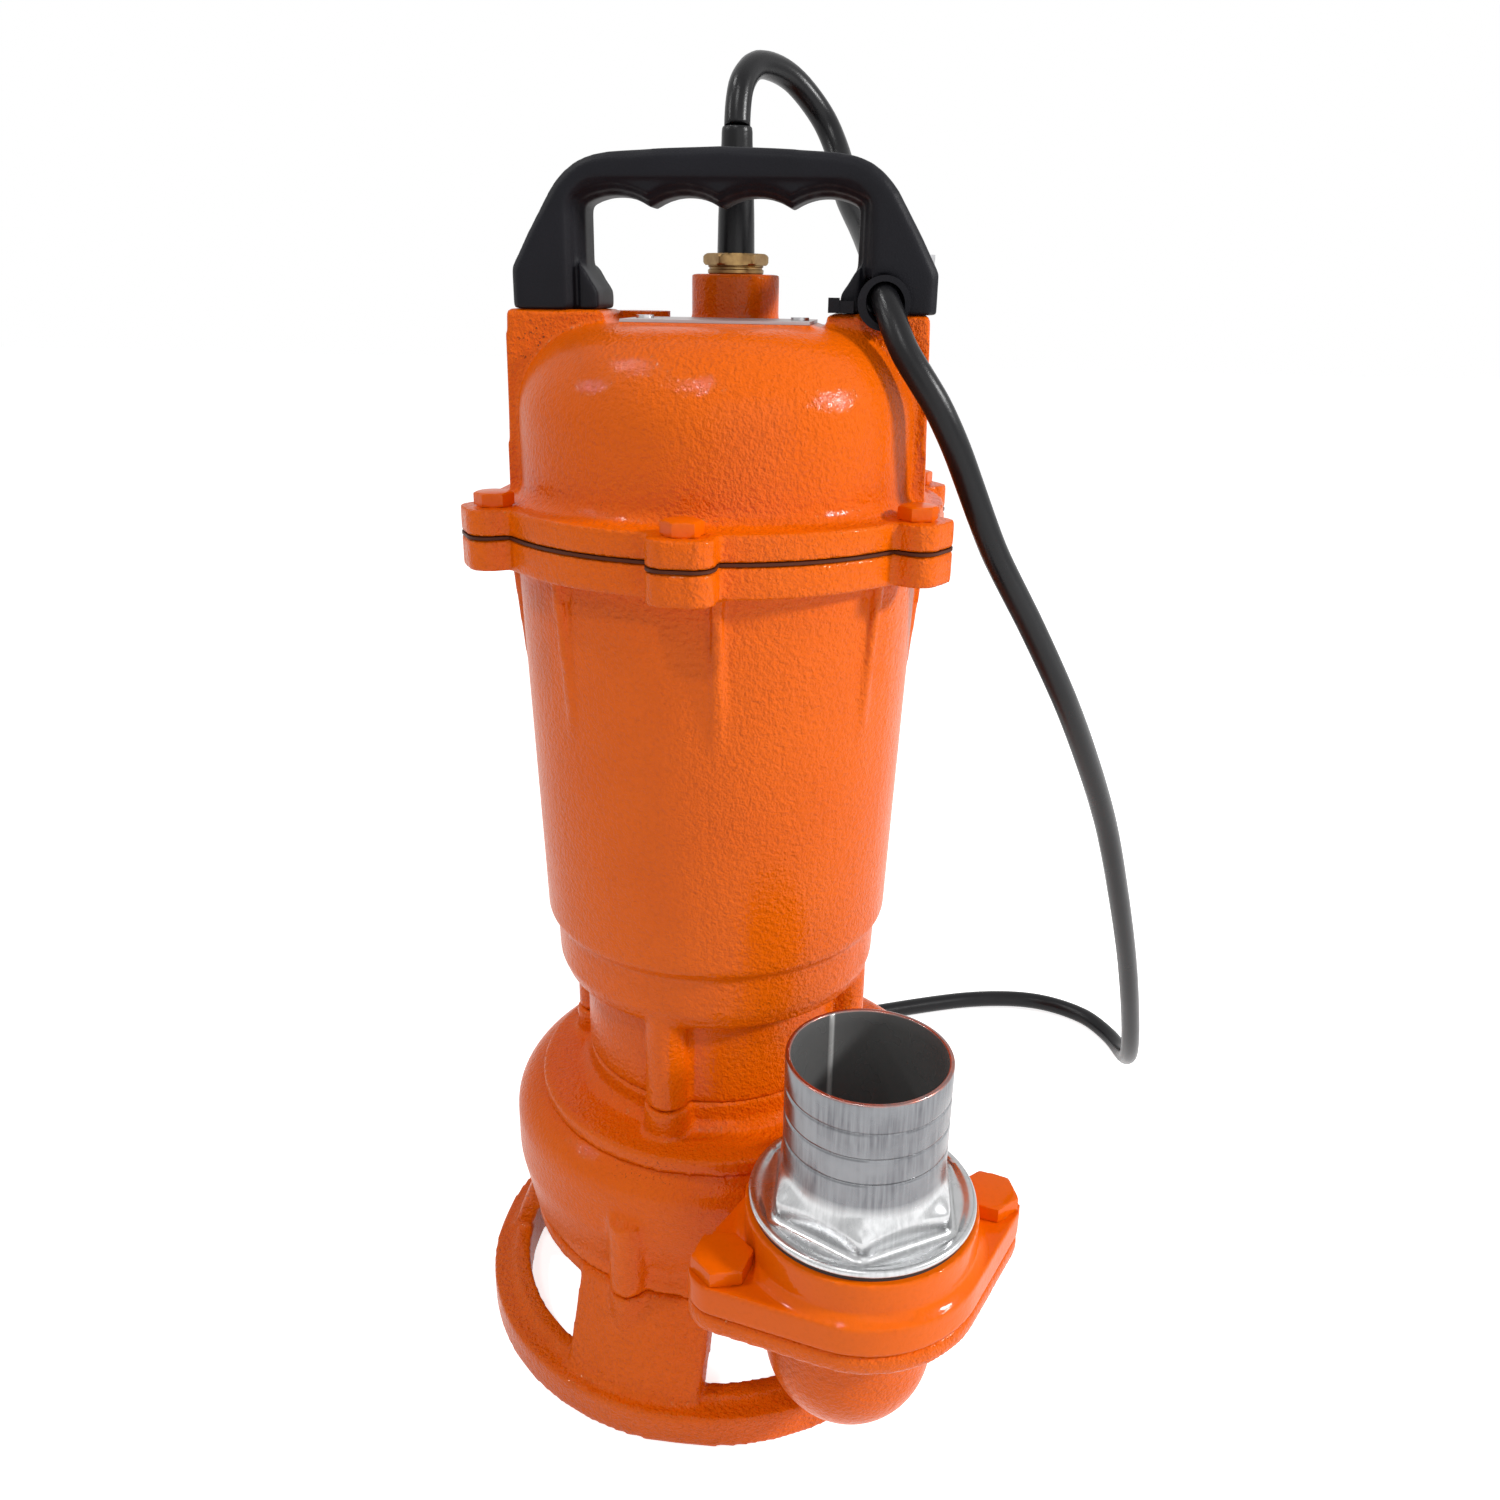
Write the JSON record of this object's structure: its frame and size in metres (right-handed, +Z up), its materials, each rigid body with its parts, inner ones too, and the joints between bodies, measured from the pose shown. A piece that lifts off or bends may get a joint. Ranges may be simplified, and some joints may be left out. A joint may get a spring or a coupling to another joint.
{
  "type": "submersible sump pump",
  "caption": "Portable submersible pump with a cast volute, a bolted outlet with a steel hose tail, a carrying handle and a coiled mains cord.",
  "frame": {"origin": "pump axis where the foot ring meets the floor", "axes": "+Z up the pump axis, +X to the side of the handle's length that holds the cord eye, -Y towards the single front cover bolt"},
  "size_m": [0.294, 0.4214, 0.4255],
  "materials": {
    "enamel": "glossy orange enamel over a cast surface",
    "handle_plastic": "fine moulded texture",
    "cord_rubber": "satin",
    "seal_rubber": "matte",
    "gland_brass": "dull",
    "zinc_steel": "bright zinc plate",
    "bright_steel": "machined",
    "plate_aluminium": "blank anodised plate",
    "lamination": "stacked sheets",
    "copper": "enamelled copper wire",
    "cast_iron": "as cast",
    "ceramic": "lapped",
    "block_plastic": "moulded",
    "lead_rubber": "sleeved wire",
    "capacitor_case": "smooth"
  },
  "bodies": {
    "root": {"base_stand": "enamel", "foot_bolts": "bright_steel", "volute_casing": "enamel", "volute_cover": "enamel", "cover_screws": "bright_steel", "neck_oring": "seal_rubber", "motor_barrel": "enamel", "cover_gasket": "seal_rubber", "top_cover": "enamel", "cover_bolts": "enamel", "handle": "handle_plastic", "handle_screws": "bright_steel", "cord_grommet": "handle_plastic", "cord_tie": "handle_plastic", "nameplate": "plate_aluminium", "nameplate_rivets": "plate_aluminium", "test_plug": "enamel", "outlet_gasket": "seal_rubber", "outlet_flange": "enamel", "outlet_bolts": "enamel", "tail_gasket": "seal_rubber", "hose_tail": "zinc_steel", "gland_body": "gland_brass", "gland_seal": "seal_rubber", "gland_nut": "gland_brass", "strain_relief": "cord_rubber", "inner_cord": "cord_rubber", "supply_leads": "lead_rubber", "terminal_block": "block_plastic", "motor_leads": "lead_rubber", "capacitor": "capacitor_case", "capacitor_clamp": "bright_steel", "bearing_bracket": "cast_iron", "top_bearing_outer": "bright_steel", "low_bearing_outer": "bright_steel", "lip_seal": "seal_rubber", "seal_seat": "ceramic", "stator_core": "lamination", "stator_windings": "copper", "cord_run": "cord_rubber", "cord_coil": "cord_rubber", "coil_tie": "handle_plastic", "cord_end": "cord_rubber", "plug_body": "cord_rubber", "plug_pins": "zinc_steel"},
    "rotor": {"motor_shaft": "bright_steel", "rotor_core": "lamination", "rotor_end_rings": "plate_aluminium", "top_bearing_inner": "bright_steel", "low_bearing_inner": "bright_steel", "seal_head": "bright_steel", "impeller": "cast_iron", "impeller_nut": "bright_steel"},
    "top_ball_set": {"top_bearing_balls": "bright_steel"},
    "low_ball_set": {"low_bearing_balls": "bright_steel"}
  },
  "joints": [
    {"name": "rotor_spin", "type": "hinge", "parent": "root", "child": "rotor", "pos_m": [0, 0, 0.2], "axis": [0, 0, 1], "continuous": true},
    {"name": "top_ball_orbit", "type": "hinge", "parent": "root", "child": "top_ball_set", "pos_m": [0, 0, 0.295], "axis": [0, 0, 1], "continuous": true},
    {"name": "low_ball_orbit", "type": "hinge", "parent": "root", "child": "low_ball_set", "pos_m": [0, 0, 0.155], "axis": [0, 0, 1], "continuous": true}
  ],
  "couplings": [
    {"joint": "top_ball_orbit", "follows": "rotor_spin", "ratio": 0.38},
    {"joint": "low_ball_orbit", "follows": "rotor_spin", "ratio": 0.3947}
  ]
}
